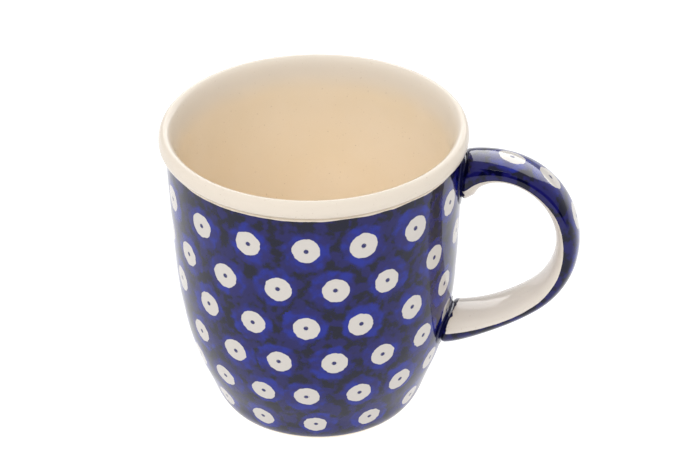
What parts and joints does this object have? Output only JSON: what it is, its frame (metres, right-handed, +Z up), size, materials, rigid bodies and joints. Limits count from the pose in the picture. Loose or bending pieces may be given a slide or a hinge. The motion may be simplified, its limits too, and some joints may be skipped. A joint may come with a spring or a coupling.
{
  "type": "stoneware mug",
  "caption": "Barrel-bodied stoneware mug with a rolled rim, a leaning strap handle stuck on with slip, and a spotted cobalt glaze over a cream body.",
  "frame": {"origin": "centre of the foot, on the plane the mug stands on", "axes": "+Z up the mug's axis, +X from the axis towards the handle"},
  "size_m": [0.1259, 0.092, 0.095],
  "materials": {
    "bare_stoneware": "dry fired clay",
    "joining_slip": "glossy dark blue glaze pooled over slip",
    "cream_glaze": "glossy clear glaze over cream clay, faint specks",
    "cobalt_wall_decor": "glossy navy ground with cobalt halos and cream dots",
    "cobalt_handle_decor": "glossy navy with cream dots along the strap"
  },
  "bodies": {
    "root": {"stoneware_body": "bare_stoneware", "stoneware_handle": "bare_stoneware", "upper_slip_joint": "joining_slip", "lower_slip_joint": "joining_slip", "liner_glaze": "cream_glaze", "foot_band_glaze": "cream_glaze", "base_recess_glaze": "cream_glaze", "handle_grip_glaze": "cream_glaze", "cobalt_wall_coat": "cobalt_wall_decor", "cobalt_handle_coat": "cobalt_handle_decor"}
  },
  "joints": []
}
